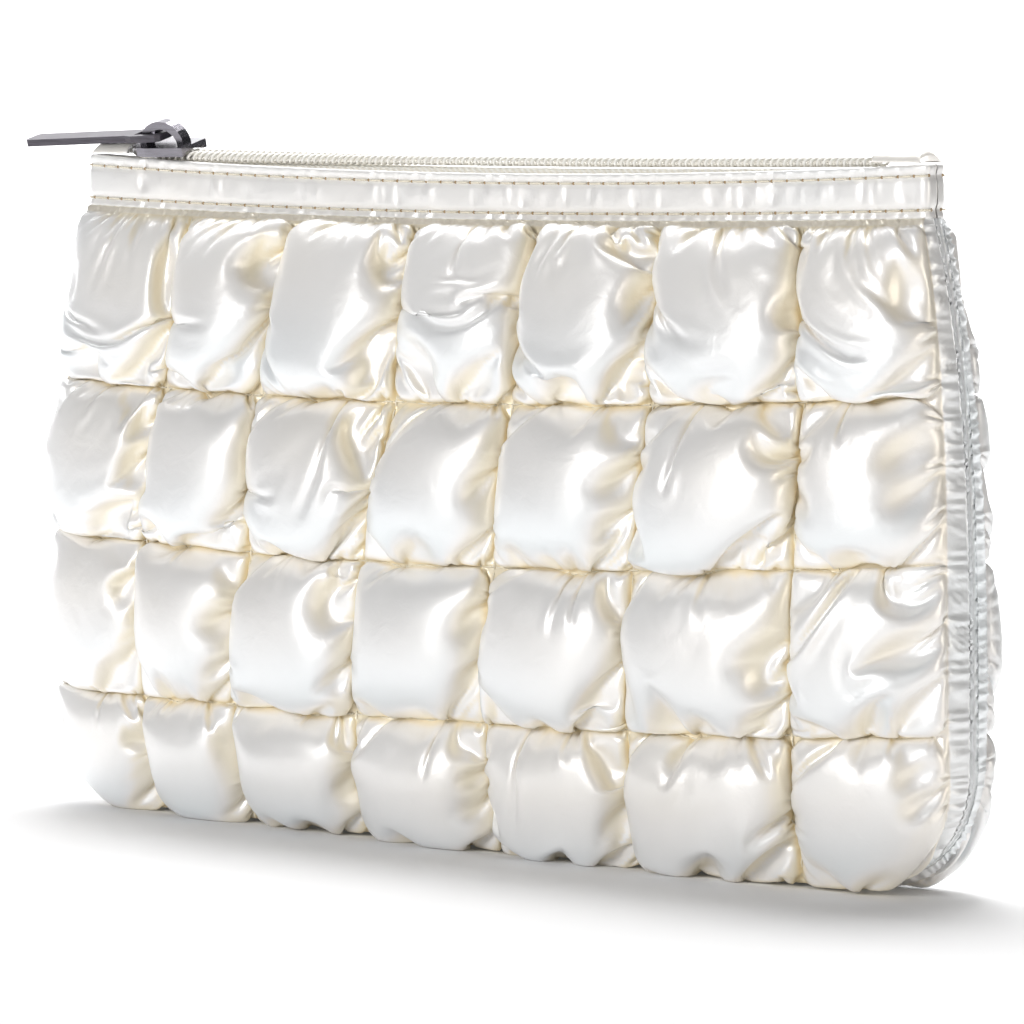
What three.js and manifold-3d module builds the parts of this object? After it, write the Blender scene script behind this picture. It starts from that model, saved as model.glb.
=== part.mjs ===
// A padded satin pouch with a coil zip along its top, standing on its lower puffs.
// X runs along the zip, the front faces -Y and +Z is up. Lengths are millimetres, angles degrees.
// The bag is drawn with its zip level and then leans a little onto its foot, as it stands.

import * as THREE from 'three';
import Module from 'manifold-3d';

const wasm = await Module();
wasm.setup();

// Bag
const bandLength = 200;
const bandTop = 133;
const bandHeight = 10.3;
const bandWall = 1.5;
const bandSag = 2.7;
const bandFootSag = 1.6;
const bandEndDepth = 3.4;
const bandMidDepth = 4.6;
const bodyFlare = 8.4;
const leftTuck = 5;
const cornerRadius = 22;
const quiltDepth = 16;
const puffHeight = 8.2;
const puffDroop = 0.12;
const footDroop = 2.6;
const panelWall = 1.6;
const hemEdge = 1.3;
const hemWidth = 2.2;
const sideMargin = 3.2;
const neckMargin = 0.8;
const footRise = 0.8;
const seamRise = 2.4;
const bandFold = 0.3;
const standingLean = 2.2;

// How the puffs and the quilted surface bow, as powers and shares
const bowPower = 2.6;
const bowEase = 0.8;
const pillowPower = 2.3;
const tuckFrom = 0.7;
const loftChange = 0.08;
const normalStep = 0.02;

// Zip
const chainRise = 0.5;
const chainSag = 1;
const chainWidth = 5.4;
const chainThickness = 1.9;
const chainBevel = 0.9;
const chainRoll = 14;
const chainRollReach = 0.7;
const tapeThickness = 0.6;
const tapeSplit = 0.8;
const tapeHem = 2;
const tapeFromEnd = 3;

// Slider and pull
const sliderFromEnd = 17.7;
const sliderLength = 14;
const sliderWidth = 9.2;
const sliderTailWidth = 8;
const sliderNoseWidth = 4;
const sliderPlate = 1;
const sliderLip = 0.75;
const sliderNoseBlock = 4;
const sliderShoulder = 5;
const sliderShoulderBevel = 0.6;
const crownLength = 11;
const crownHeight = 4.9;
const crownBar = 1.6;
const crownWidth = 2.6;
const pullLength = 34;
const pullWidth = 5;
const pullThickness = 1.4;
const pullEyeWidth = 6.4;
const pullCrossbar = 1.4;
const pullEyeBevel = 0.8;
const pullNeck = 2;
const pullEndBevel = 0.6;
const pullSlope = 2.4;

// End tabs
const tabWidth = 7.4;
const tabHeight = 2.2;
const tabWall = 0.7;
const rightTabLength = 11;
const tabLap = 1.6;

// Fits
const clearance = 0.3;
const crownSideClearance = 0.6;
const crownEndClearance = 0.7;

// How finely the faces are cut
const puffSteps = 7;
const zipStations = 22;
const archSteps = 10;

// Each vertical seam's place on the row seams, in shares of the bag's half width there
const columnSeams = [
  { neck: -0.714, first: -0.686, second: -0.715, third: -0.714, foot: -0.706 },
  { neck: -0.444, first: -0.455, second: -0.457, third: -0.495, foot: -0.495 },
  { neck: -0.156, first: -0.144, second: -0.194, third: -0.220, foot: -0.230 },
  { neck: 0.138, first: 0.118, second: 0.091, third: 0.072, foot: 0.065 },
  { neck: 0.415, first: 0.421, second: 0.387, third: 0.370, foot: 0.365 },
  { neck: 0.730, first: 0.732, second: 0.713, third: 0.702, foot: 0.690 },
];

// Each row seam's height in shares of the panel's height, and its depth in shares of quiltDepth
const rowSeams = [
  { name: 'neck', left: 0.992, middle: 0.979, right: 0.992, depth: 0.36, endDepth: 0.26 },
  { name: 'first', left: 0.723, middle: 0.703, right: 0.735, depth: 0.84, endDepth: 0.36 },
  { name: 'second', left: 0.480, middle: 0.451, right: 0.482, depth: 1.00, endDepth: 0.42 },
  { name: 'third', left: 0.225, middle: 0.207, right: 0.222, depth: 0.94, endDepth: 0.42 },
];
const footDepth = { name: 'foot', depth: 0.50, endDepth: 0.28 };

// Gathers beside the seams of a puff, in shares of its height
const gathers = { folds: 3, depth: 0.45, turn: 2.4 };

const satin = { color: 0xece9e2, roughness: 0.32, metalness: 0.15 };
const twill = { color: 0xe9e2d0, roughness: 0.8, metalness: 0 };
const nylon = { color: 0xece6d6, roughness: 0.45, metalness: 0 };
const gunmetal = { color: 0x6f6d72, roughness: 0.28, metalness: 1 };

const columns = columnSeams.length + 1;
const rows = rowSeams.length;
const halfBand = bandLength / 2;
const panelHeight = bandTop - bandHeight;
const chainTop = bandTop + chainRise;
const tapeLength = bandLength - 2 * tapeFromEnd;
const leanSlope = Math.tan(THREE.MathUtils.degToRad(standingLean));

const mix = (from, to, share) => from + (to - from) * share;
const arc = (x) => 1 - (x / halfBand) ** 2;

// Lines that run along the bag
const bandTopAt = (x) => bandTop - bandSag * arc(x);
const bandFootAt = (x) => panelHeight - bandFootSag * arc(x);
const chainAt = (x) => chainTop - chainSag * arc(x);
const floorAt = (x) => -leanSlope * x;

function crownOver(share, full, end) {
  const bow = (1 - Math.min(Math.abs(share), 1) ** bowPower) ** bowEase;
  return mix(end, full, bow);
}

const bandDepthAt = (x) => crownOver(x / halfBand, bandMidDepth, bandEndDepth);

function rollAt(x) {
  const ease = THREE.MathUtils.smoothstep(-x, 0, halfBand * chainRollReach);
  return THREE.MathUtils.degToRad(chainRoll * ease);
}

const dropAt = (height) => THREE.MathUtils.clamp(1 - height / panelHeight, 0, 1);
const halfWidthAt = (height) => halfBand + bodyFlare * (1 - (1 - dropAt(height)) ** 4);

// How far the left end stays in, because it flares less than the right one
function tuckAt(share, height) {
  return leftTuck * dropAt(height) * THREE.MathUtils.smoothstep(-share, tuckFrom, 1);
}

// A row's height where it is a share of the half width from the middle
function rowHeight(row, share) {
  if (row < 0) {
    return bandFootAt(share * halfBand) - clearance;
  }
  if (row < rows) {
    const { left, middle, right } = rowSeams[row];
    const bend = (left + right) / 2 - middle;
    return panelHeight * (middle + ((right - left) / 2) * share + bend * share ** 2);
  }
  const rise = row === rows ? footRise : seamRise;
  return floorAt(share * halfWidthAt(0)) + rise;
}

// A column seam's place on a row, in shares of the half width: 0 is the first quilted line
function columnShare(column, row) {
  const level = THREE.MathUtils.clamp(row, 0, rows);
  const name = level < rows ? rowSeams[level].name : footDepth.name;
  const margin = mix(neckMargin, sideMargin, Math.min(level, 1)) / halfBand;
  if (column <= 0) {
    return column < 0 ? -1 : -1 + margin;
  }
  if (column >= columns) {
    return column > columns ? 1 : 1 - margin;
  }
  return columnSeams[column - 1][name];
}

function smoothColumnShare(column, row) {
  const from = Math.floor(column);
  return mix(columnShare(from, row), columnShare(from + 1, row), column - from);
}

function rowDepth(row, share) {
  if (row < 0) {
    return crownOver(share, bandMidDepth, bandEndDepth);
  }
  const { depth, endDepth } = row < rows ? rowSeams[row] : footDepth;
  return quiltDepth * crownOver(share, depth, endDepth);
}

// A smooth curve through the values on the rows above and below
function alongRows(value, row) {
  const clampRow = (r) => THREE.MathUtils.clamp(r, -1, rows);
  const from = Math.min(Math.floor(row), rows - 1);
  const [a, b, c, d] = [from - 1, from, from + 1, from + 2].map((r) => value(clampRow(r)));
  const t = row - from;
  return 0.5 * (2 * b + (c - a) * t + (2 * a - 5 * b + 4 * c - d) * t ** 2
    + (3 * b - a - 3 * c + d) * t ** 3);
}

// Turns the square lower corners of the panel into round ones
function roundCorner(x, z) {
  const side = Math.sign(x);
  const centreX = halfWidthAt(0) - cornerRadius;
  const dx = (Math.abs(x) - centreX) / cornerRadius;
  const dz = (cornerRadius - (z - floorAt(x) - seamRise)) / cornerRadius;
  if (dx <= 0 || dz <= 0) {
    return [x, z];
  }
  const roundX = side * (centreX + cornerRadius * dx * Math.sqrt(1 - dz ** 2 / 2));
  const rise = cornerRadius * (1 - dz * Math.sqrt(1 - dx ** 2 / 2));
  return [roundX, floorAt(roundX) + seamRise + rise];
}

// A point on the quilted layer, level with its seams. Columns run from 0 to 7 and rows from 0 to 4,
// with a margin of one more on each side, and row -1 at the band.
function quiltPoint(column, row, inset = 0) {
  const low = Math.max(Math.floor(Math.min(row, rows + 1)), -1);
  const high = Math.min(low + 1, rows + 1);
  const share = mix(smoothColumnShare(column, low), smoothColumnShare(column, high), row - low);
  const height = mix(rowHeight(low, share), rowHeight(high, share), row - low);
  const inside = THREE.MathUtils.clamp(2 * column / columns - 1, -1, 1);
  const quilted = alongRows((r) => rowDepth(r, inside), Math.min(row, rows));
  const outside = Math.max(-column, column - columns, 0);
  const below = Math.max(row - rows, 0);
  const depth = mix(quilted, hemEdge, 1 - (1 - outside) * (1 - below)) - inset;
  const [x, z] = roundCorner(share * halfWidthAt(height), height);
  return new THREE.Vector3(x + tuckAt(share, height), -depth, z);
}

function quiltNormal(column, row) {
  const across = quiltPoint(column + normalStep, row).sub(quiltPoint(column - normalStep, row));
  const down = quiltPoint(column, row + normalStep).sub(quiltPoint(column, row - normalStep));
  return down.cross(across).normalize();
}

const pillow = (share) => Math.sqrt(Math.max(1 - Math.abs(2 * share - 1) ** pillowPower, 0));

// How far a puff stands off its seams, with folds where the seams gather the satin
function puffAt(column, row) {
  if (column <= 0 || column >= columns || row <= 0 || row >= rows) {
    return 0;
  }
  const a = column % 1;
  const b = row % 1;
  const cell = Math.floor(column) + columns * Math.floor(row);
  const across = pillow(a);
  const down = pillow(b);
  const folds = Math.PI * gathers.folds;
  const dents = Math.cos(folds * a + gathers.turn * cell) ** 2 * (1 - down)
    + Math.cos(folds * b + gathers.turn * cell) ** 2 * (1 - across);
  const loft = 1 + loftChange * Math.sin(gathers.turn * cell);
  return puffHeight * loft * across * down * (1 - gathers.depth * dents);
}

function outerPoint(column, row) {
  const point = quiltPoint(column.at, row.at);
  const puff = puffAt(column.at, row.at);
  if (puff > 0) {
    const outward = quiltNormal(column.at, row.at);
    outward.z -= row.at > rows - 1 ? puffDroop + footDroop * (row.at % 1) ** 2 : puffDroop;
    point.addScaledVector(outward.normalize(), puff);
  }
  if (column.rim || row.rim) {
    point.y = -clearance / 2;
  }
  point.z = Math.max(point.z, floorAt(point.x));
  return point;
}

// The lining side, one wall further in, with its own hem round the sides and the foot
function innerPoint(column, row) {
  const point = quiltPoint(column.at, row.at, column.rim || row.rim ? 0 : panelWall);
  if (column.rim || row.rim) {
    point.y = -clearance / 2;
    point.x -= column.rim ? Math.sign(point.x) * hemWidth : 0;
    point.z += row.rim ? hemWidth : 0;
  }
  point.y = row.at < 0 && !column.rim ? point.y : Math.min(point.y, -clearance / 2);
  return point;
}

// Grid lines over the puffs, closer together beside the seams
function puffLines(count) {
  const lines = [];
  for (let cell = 0; cell < count; cell += 1) {
    for (let step = 0; step < puffSteps; step += 1) {
      lines.push({ at: cell + (1 - Math.cos((Math.PI * step) / puffSteps)) / 2 });
    }
  }
  lines.push({ at: count });
  return lines;
}

const sideLines = (edge, line) => [{ at: edge, rim: true }, { at: edge }, { at: (edge + line) / 2 }];

function closedGeometry(points, faces) {
  let volume = 0;
  for (const [a, b, c] of faces) {
    volume += points[a].dot(points[b].clone().cross(points[c]));
  }
  const turned = volume < 0 ? faces.map(([a, b, c]) => [a, c, b]) : faces;
  const geometry = new THREE.BufferGeometry().setFromPoints(points);
  geometry.setIndex(turned.flat());
  geometry.computeVertexNormals();
  return geometry;
}

// Closes the border between a fine edge and a coarse one, given as lists of point numbers
function borderFaces(fine, coarse, marks) {
  const faces = [];
  for (let part = 0; part < coarse.length - 1; part += 1) {
    const middle = Math.floor((marks[part] + marks[part + 1]) / 2);
    for (let i = marks[part]; i < marks[part + 1]; i += 1) {
      faces.push([fine[i], fine[i + 1], i < middle ? coarse[part] : coarse[part + 1]]);
    }
    faces.push([coarse[part], fine[middle], coarse[part + 1]]);
  }
  return faces;
}

function gridFaces(columnCount, rowCount, first, flip) {
  const faces = [];
  for (let j = 0; j < rowCount - 1; j += 1) {
    for (let i = 0; i < columnCount - 1; i += 1) {
      const a = first + j * columnCount + i;
      const [b, c, d] = [a + 1, a + columnCount + 1, a + columnCount];
      faces.push(...(flip ? [[a, b, c], [a, c, d]] : [[a, c, b], [a, d, c]]));
    }
  }
  return faces;
}

// One padded half of the bag: the quilted satin outside and the plain lining inside
function panelGeometry(side) {
  const acrossFine = [...sideLines(-1, 0), ...puffLines(columns),
    ...sideLines(columns + 1, columns).reverse()];
  const downFine = [{ at: -1 }, ...puffLines(rows), ...sideLines(rows + 1, rows).reverse()];
  const seamMarks = Array.from({ length: columns + 1 }, (_, i) => 3 + i * puffSteps);
  const rowMarks = Array.from({ length: rows + 1 }, (_, i) => 1 + i * puffSteps);
  const acrossMarks = [0, ...seamMarks, acrossFine.length - 1];
  const downMarks = [0, ...rowMarks, downFine.length - 1];
  const acrossCoarse = acrossMarks.map((mark) => acrossFine[mark]);
  const downCoarse = downMarks.map((mark) => downFine[mark]);
  const fine = downFine.flatMap((row) => acrossFine.map((column) => outerPoint(column, row)));
  const coarse = downCoarse.flatMap((row) => acrossCoarse.map((column) => innerPoint(column, row)));
  const [nf, mf] = [acrossFine.length, downFine.length];
  const [nc, mc] = [acrossCoarse.length, downCoarse.length];
  const fineAt = (i, j) => j * nf + i;
  const coarseAt = (i, j) => fine.length + j * nc + i;
  const everyFine = (n, at) => Array.from({ length: n }, (_, i) => at(i));
  const turn = (faces) => faces.map(([a, b, c]) => [a, c, b]);
  const faces = [
    ...gridFaces(nf, mf, 0, false),
    ...gridFaces(nc, mc, fine.length, true),
    ...borderFaces(everyFine(nf, (i) => fineAt(i, 0)), everyFine(nc, (i) => coarseAt(i, 0)),
      acrossMarks),
    ...turn(borderFaces(everyFine(nf, (i) => fineAt(i, mf - 1)),
      everyFine(nc, (i) => coarseAt(i, mc - 1)), acrossMarks)),
    ...turn(borderFaces(everyFine(mf, (j) => fineAt(0, j)), everyFine(mc, (j) => coarseAt(0, j)),
      downMarks)),
    ...borderFaces(everyFine(mf, (j) => fineAt(nf - 1, j)),
      everyFine(mc, (j) => coarseAt(nc - 1, j)), downMarks),
  ];
  const points = [...fine, ...coarse];
  points.forEach((point) => point.setY(point.y * -side));
  return closedGeometry(points, faces);
}

// Joins equal sections, each a list of [y, z] at its own x, and closes both ends
function loftGeometry(stations, sectionAt) {
  const contourAt = (x) => sectionAt(x).map(([y, z]) => new THREE.Vector2(y, z));
  const clockwise = THREE.ShapeUtils.isClockWise(contourAt(stations[0]));
  const sections = stations.map((x) => (clockwise ? contourAt(x).reverse() : contourAt(x)));
  const size = sections[0].length;
  const last = (stations.length - 1) * size;
  const points = sections.flatMap((section, i) => section.map(
    (point) => new THREE.Vector3(stations[i], point.x, point.y)));
  const faces = [];
  for (let start = 0; start < last; start += size) {
    for (let k = 0; k < size; k += 1) {
      const [a, b] = [start + k, start + ((k + 1) % size)];
      faces.push([a, b, b + size], [a, b + size, a + size]);
    }
  }
  for (const [a, b, c] of THREE.ShapeUtils.triangulateShape(sections[0], [])) {
    faces.push([c, b, a], [last + a, last + b, last + c]);
  }
  return closedGeometry(points, faces);
}

function stationsBetween(from, to, count = zipStations) {
  return Array.from({ length: count + 1 }, (_, i) => mix(from, to, i / count));
}

// The flat top band, open inside for the tape and closed at its two ends
function bandGeometry(side) {
  const pocket = tapeLength / 2 + clearance;
  const stations = [-halfBand, ...stationsBetween(-pocket, pocket), halfBand];
  stations.splice(1, 0, -pocket - bandFold);
  stations.splice(-1, 0, pocket + bandFold);
  return loftGeometry(stations, (x) => {
    const outer = bandDepthAt(x);
    const inner = Math.abs(x) > pocket ? clearance / 2 : outer - bandWall;
    const [top, foot] = [bandTopAt(x), bandFootAt(x)];
    return [
      [side * inner, foot], [side * (outer - bandFold), foot],
      [side * outer, foot + 2 * bandFold], [side * outer, top - 2 * bandFold],
      [side * (outer - bandFold), top], [side * inner, top],
    ];
  });
}

// A zip tape: it stands inside the band and turns in under the chain
function tapeGeometry(side) {
  const stations = stationsBetween(-tapeLength / 2, tapeLength / 2);
  return loftGeometry(stations, (x) => {
    const outer = bandDepthAt(x) - bandWall - clearance;
    const foot = bandFootAt(x) + tapeHem;
    const roll = rollAt(x);
    const under = chainAt(x) - (chainThickness / 2 + clearance) / Math.cos(roll);
    const topAt = (y) => under + side * y * Math.tan(roll);
    const inner = outer - tapeThickness;
    return [
      [outer, foot], [outer, topAt(outer)], [tapeSplit / 2, topAt(tapeSplit / 2)],
      [tapeSplit / 2, topAt(tapeSplit / 2) - tapeThickness],
      [inner, topAt(inner) - tapeThickness], [inner, foot],
    ].map(([y, z]) => [side * y, z]);
  });
}

function chainGeometry(from, to) {
  const [w, t] = [chainWidth / 2, chainThickness / 2];
  const [flat, side] = [w - chainBevel, t / 4];
  const outline = [[-w, -side], [-flat, -t], [flat, -t], [w, -side],
    [w, side], [flat, t], [-flat, t], [-w, side]];
  return loftGeometry(stationsBetween(from, to), (x) => {
    const roll = rollAt(x);
    return outline.map(([y, z]) => [
      y * Math.cos(roll) - z * Math.sin(roll),
      chainAt(x) + y * Math.sin(roll) + z * Math.cos(roll),
    ]);
  });
}

// Solids that are joined or cut
function toSolid(geometry) {
  const bare = geometry.index ? geometry.toNonIndexed() : geometry;
  const position = bare.getAttribute('position');
  const mesh = new wasm.Mesh({
    numProp: 3,
    vertProperties: Float32Array.from(position.array),
    triVerts: Uint32Array.from({ length: position.count }, (_, i) => i),
  });
  mesh.merge();
  return new wasm.Manifold(mesh);
}

function fromSolid(solid) {
  const mesh = solid.getMesh();
  const geometry = new THREE.BufferGeometry();
  geometry.setAttribute('position', new THREE.BufferAttribute(mesh.vertProperties, 3));
  geometry.setIndex(new THREE.BufferAttribute(mesh.triVerts, 1));
  geometry.computeVertexNormals();
  return geometry;
}

function plate(points, height, low) {
  const shape = new THREE.Shape(points.map(([x, y]) => new THREE.Vector2(x, y)));
  const geometry = new THREE.ExtrudeGeometry(shape, { depth: height, bevelEnabled: false });
  return geometry.translate(0, 0, low);
}

function block(length, width, height, x, y, z) {
  return new THREE.BoxGeometry(length, width, height).translate(x, y, z);
}

// Half an ellipse standing on its flat side
function archPoints(halfLength, height) {
  return Array.from({ length: archSteps + 1 }, (_, i) => {
    const angle = (Math.PI * i) / archSteps;
    return [halfLength * Math.cos(angle), height * Math.sin(angle)];
  });
}

// Slider: a plate over the chain, with lips down its sides, a solid nose and an arched crown.
// Its own zero is on the chain's centre line.
const plateFoot = chainThickness / 2 + clearance;
const plateTop = plateFoot + sliderPlate;

function crownGeometry() {
  const outer = archPoints(crownLength / 2, crownHeight);
  const inner = archPoints(crownLength / 2 - crownBar, crownHeight - crownBar).reverse();
  const shape = new THREE.Shape([...outer, ...inner].map(([x, z]) => new THREE.Vector2(x, z)));
  const arch = new THREE.ExtrudeGeometry(shape, { depth: crownWidth, bevelEnabled: false });
  arch.rotateX(Math.PI / 2);
  return arch.translate(0, crownWidth / 2, plateTop - sliderPlate / 4);
}

function sliderGeometry() {
  const nose = -sliderLength / 2;
  const half = [[nose, sliderNoseWidth / 2],
    [nose + sliderShoulder / 2, sliderWidth / 2 - sliderShoulderBevel],
    [nose + sliderShoulder, sliderWidth / 2], [-nose, sliderTailWidth / 2]];
  const outline = [...half.map(([x, y]) => [x, -y]), ...half.reverse()];
  const body = toSolid(plate(outline, sliderPlate + sliderLip, plateFoot - sliderLip));
  const channelLength = sliderLength - sliderNoseBlock;
  const channel = toSolid(block(channelLength, chainWidth + 2 * clearance, 2 * sliderLip,
    -nose - channelLength / 2, 0, plateFoot - sliderLip)
    .translate(clearance, 0, 0));
  return fromSolid(body.subtract(channel).add(toSolid(crownGeometry())));
}

// Pull: a flat bar whose eye passes under the crown. Its own zero is its turning axis.
function pullGeometry() {
  const cross = pullCrossbar / 2;
  const shoulder = crownLength / 2 + crownEndClearance;
  const [eye, bar] = [pullEyeWidth / 2, pullWidth / 2];
  const half = [[cross, eye - pullEyeBevel], [cross - pullEyeBevel, eye], [-shoulder, eye],
    [-shoulder - pullNeck, bar], [pullEndBevel - pullLength, bar],
    [-pullLength, bar - pullEndBevel]];
  const outline = [...half.map(([x, y]) => [x, -y]).reverse(), ...half];
  const window = crownWidth / 2 + crownSideClearance;
  const opening = block(shoulder - cross, 2 * window, 2 * pullThickness,
    -(shoulder + cross) / 2, 0, 0);
  const bare = plate(outline, pullThickness, -pullThickness / 2);
  return fromSolid(toSolid(bare).subtract(toSolid(opening)));
}

// End tab: half a tube of folded satin with its outer end closed
function tabGeometry(length, outward) {
  const tube = (halfWidth, height, along, from) => {
    const points = archPoints(halfWidth, height);
    const shape = new THREE.Shape(points.map(([y, z]) => new THREE.Vector2(y, z)));
    const geometry = new THREE.ExtrudeGeometry(shape, { depth: along, bevelEnabled: false });
    return toSolid(geometry.rotateX(Math.PI / 2).rotateZ(Math.PI / 2).translate(from, 0, 0));
  };
  const outer = tube(tabWidth / 2, tabHeight, length, 0);
  const cut = outward > 0 ? -tabWall : tabWall;
  const inner = tube(tabWidth / 2 - tabWall, tabHeight - tabWall, length, cut);
  return fromSolid(outer.subtract(inner));
}

function addMesh(group, name, geometry, finish) {
  const mesh = new THREE.Mesh(geometry, new THREE.MeshStandardMaterial(finish));
  mesh.name = name;
  group.add(mesh);
  return mesh;
}

function buildSlider(centre) {
  const slider = new THREE.Group();
  slider.position.set(centre, 0, chainAt(centre));
  slider.rotation.x = rollAt(centre);
  addMesh(slider, 'slider_body', sliderGeometry(), gunmetal);
  const pull = new THREE.Group();
  pull.position.z = plateTop + (crownHeight - crownBar) / 2;
  pull.rotation.y = -THREE.MathUtils.degToRad(pullSlope);
  addMesh(pull, 'pull_tab', pullGeometry(), gunmetal);
  slider.add(pull);
  return slider;
}

function buildBag() {
  const bag = new THREE.Group();
  const sliderCentre = sliderFromEnd - halfBand;
  const sliderNose = sliderCentre - sliderLength / 2;
  const tabOuter = tapeLength / 2 + tabLap;
  const leftTabLength = sliderNose - clearance + tabOuter;
  const rightTabStart = tabOuter - rightTabLength;
  const chainStart = sliderNose + sliderNoseBlock + 2 * clearance;
  for (const [name, side] of [['front', -1], ['back', 1]]) {
    addMesh(bag, `${name}_panel`, panelGeometry(side), satin);
    addMesh(bag, `${name}_band`, bandGeometry(side), satin);
    addMesh(bag, `zipper_tape_${name}`, tapeGeometry(side), twill);
  }
  addMesh(bag, 'zipper_coil', chainGeometry(chainStart, rightTabStart - clearance), nylon);
  const left = addMesh(bag, 'zipper_tab_left', tabGeometry(leftTabLength, -1), satin);
  left.position.set(-tabOuter, 0, bandTopAt(tabOuter) + clearance);
  const right = addMesh(bag, 'zipper_tab_right', tabGeometry(rightTabLength, 1), satin);
  right.position.set(rightTabStart, 0, bandTopAt(tabOuter) + clearance);
  bag.add(buildSlider(sliderCentre));
  bag.rotation.y = -THREE.MathUtils.degToRad(standingLean);
  return bag;
}

// The zero point is the middle of the bag's foot print, on the floor
function standOnFloor(bag) {
  const stand = new THREE.Group();
  stand.add(bag);
  stand.updateMatrixWorld(true);
  const box = new THREE.Box3().setFromObject(bag, true);
  const centre = box.getCenter(new THREE.Vector3());
  bag.position.set(-centre.x, -centre.y, -box.min.z);
  return stand;
}

export default standOnFloor(buildBag());
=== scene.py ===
import math

import bpy
import numpy as np
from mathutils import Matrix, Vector


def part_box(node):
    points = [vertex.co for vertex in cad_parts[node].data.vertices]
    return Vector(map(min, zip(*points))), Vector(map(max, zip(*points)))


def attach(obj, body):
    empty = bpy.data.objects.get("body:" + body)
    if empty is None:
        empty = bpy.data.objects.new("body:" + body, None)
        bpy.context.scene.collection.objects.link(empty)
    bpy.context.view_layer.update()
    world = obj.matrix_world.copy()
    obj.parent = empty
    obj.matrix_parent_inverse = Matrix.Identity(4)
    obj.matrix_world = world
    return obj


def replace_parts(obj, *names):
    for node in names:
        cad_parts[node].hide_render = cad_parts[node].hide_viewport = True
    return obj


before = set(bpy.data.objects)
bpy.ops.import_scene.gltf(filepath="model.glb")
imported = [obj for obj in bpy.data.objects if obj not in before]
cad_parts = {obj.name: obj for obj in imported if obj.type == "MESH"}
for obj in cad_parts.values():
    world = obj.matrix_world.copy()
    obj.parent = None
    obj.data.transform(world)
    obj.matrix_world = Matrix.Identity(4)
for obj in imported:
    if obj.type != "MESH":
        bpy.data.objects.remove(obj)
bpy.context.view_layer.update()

# The bag is drawn in millimetres with its zip level, and then leans onto its foot as it stands
MM = 0.001
LEAN = math.radians(2.2)
LEAN_SLOPE = math.tan(LEAN)
HALF_BAND = 100.0
BAND_TOP = 133.0
BAND_HEIGHT = 10.3
PANEL_HEIGHT = BAND_TOP - BAND_HEIGHT
BAND_SAG = 2.7
BAND_FOOT_SAG = 1.6
BAND_WALL = 1.5
BAND_END_DEPTH = 3.4
BAND_MID_DEPTH = 4.6
BODY_FLARE = 8.4
LEFT_TUCK = 5.0
TUCK_FROM = 0.7
CORNER_RADIUS = 22.0
QUILT_DEPTH = 16.0
HEM_EDGE = 1.3
HEM_WIDTH = 2.2
SIDE_MARGIN = 1.3
NECK_MARGIN = 0.8
NECK_TUCK = 0.25
FOOT_RISE = 0.8
SEAM_RISE = 2.4
CLEARANCE = 0.3
BOW_POWER = 2.6
BOW_EASE = 0.8
NORMAL_STEP = 0.02
EDGE_STEP = 0.03
MARGIN_STEP = -0.95

CHAIN_TOP = BAND_TOP + 0.5
CHAIN_SAG = 1.0
CHAIN_WIDTH = 5.4
CHAIN_THICKNESS = 1.9
CHAIN_ROLL = math.radians(14)
CHAIN_ROLL_REACH = 70.0
TAPE_THICKNESS = 0.6
TAPE_SPLIT = 0.8
TAPE_HEM = 2.0
TAPE_HALF = HALF_BAND - 3.0

# Each vertical seam's place on the row seams, in shares of the half width, from the neck down
COLUMN_SEAMS = (
    (-0.714, -0.686, -0.715, -0.714, -0.706),
    (-0.444, -0.455, -0.457, -0.495, -0.495),
    (-0.156, -0.144, -0.194, -0.220, -0.230),
    (0.138, 0.118, 0.091, 0.072, 0.065),
    (0.415, 0.421, 0.387, 0.370, 0.365),
    (0.730, 0.732, 0.713, 0.702, 0.690),
)

# Each row seam: height at the left, middle and right, then depth in the middle and at the ends
ROW_SEAMS = (
    (0.992, 0.979, 0.992, 0.36, 0.26),
    (0.723, 0.703, 0.735, 0.84, 0.36),
    (0.480, 0.451, 0.482, 1.00, 0.42),
    (0.225, 0.207, 0.222, 0.94, 0.42),
)
FOOT_DEPTH = (0.50, 0.28)

COLUMNS = len(COLUMN_SEAMS) + 1
ROWS = len(ROW_SEAMS)

band_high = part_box("front_band")[1]
SHIFT_X = band_high.x / MM - (HALF_BAND * math.cos(LEAN) - PANEL_HEIGHT * math.sin(LEAN))


def to_world(points):
    """Bag millimetres to metres in the frame."""
    p = np.asarray(points, float)
    x = p[..., 0] * math.cos(LEAN) - p[..., 2] * math.sin(LEAN) + SHIFT_X
    z = p[..., 0] * math.sin(LEAN) + p[..., 2] * math.cos(LEAN)
    return np.stack([x, p[..., 1], z], -1) * MM


def direction_to_world(v):
    c, s = math.cos(LEAN), math.sin(LEAN)
    return Vector((v[0] * c - v[2] * s, v[1], v[0] * s + v[2] * c))


def mix(a, b, t):
    return a + (b - a) * t


def smoothstep(x, low, high):
    t = np.clip((np.asarray(x, float) - low) / (high - low), 0, 1)
    return t * t * (3 - 2 * t)


def unit(v):
    return v / np.maximum(np.linalg.norm(v, axis=-1, keepdims=True), 1e-9)


# Lines that run along the bag
def arc(x):
    return 1 - (np.asarray(x, float) / HALF_BAND) ** 2


def band_top_at(x):
    return BAND_TOP - BAND_SAG * arc(x)


def band_foot_at(x):
    return PANEL_HEIGHT - BAND_FOOT_SAG * arc(x)


def chain_at(x):
    return CHAIN_TOP - CHAIN_SAG * arc(x)


def floor_at(x):
    return -LEAN_SLOPE * x


def roll_at(x):
    return CHAIN_ROLL * smoothstep(-np.asarray(x, float), 0, CHAIN_ROLL_REACH)


def crown_over(share, full, end):
    bow = (1 - np.minimum(np.abs(share), 1) ** BOW_POWER) ** BOW_EASE
    return mix(end, full, bow)


def band_depth_at(x):
    return crown_over(np.asarray(x, float) / HALF_BAND, BAND_MID_DEPTH, BAND_END_DEPTH)


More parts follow.
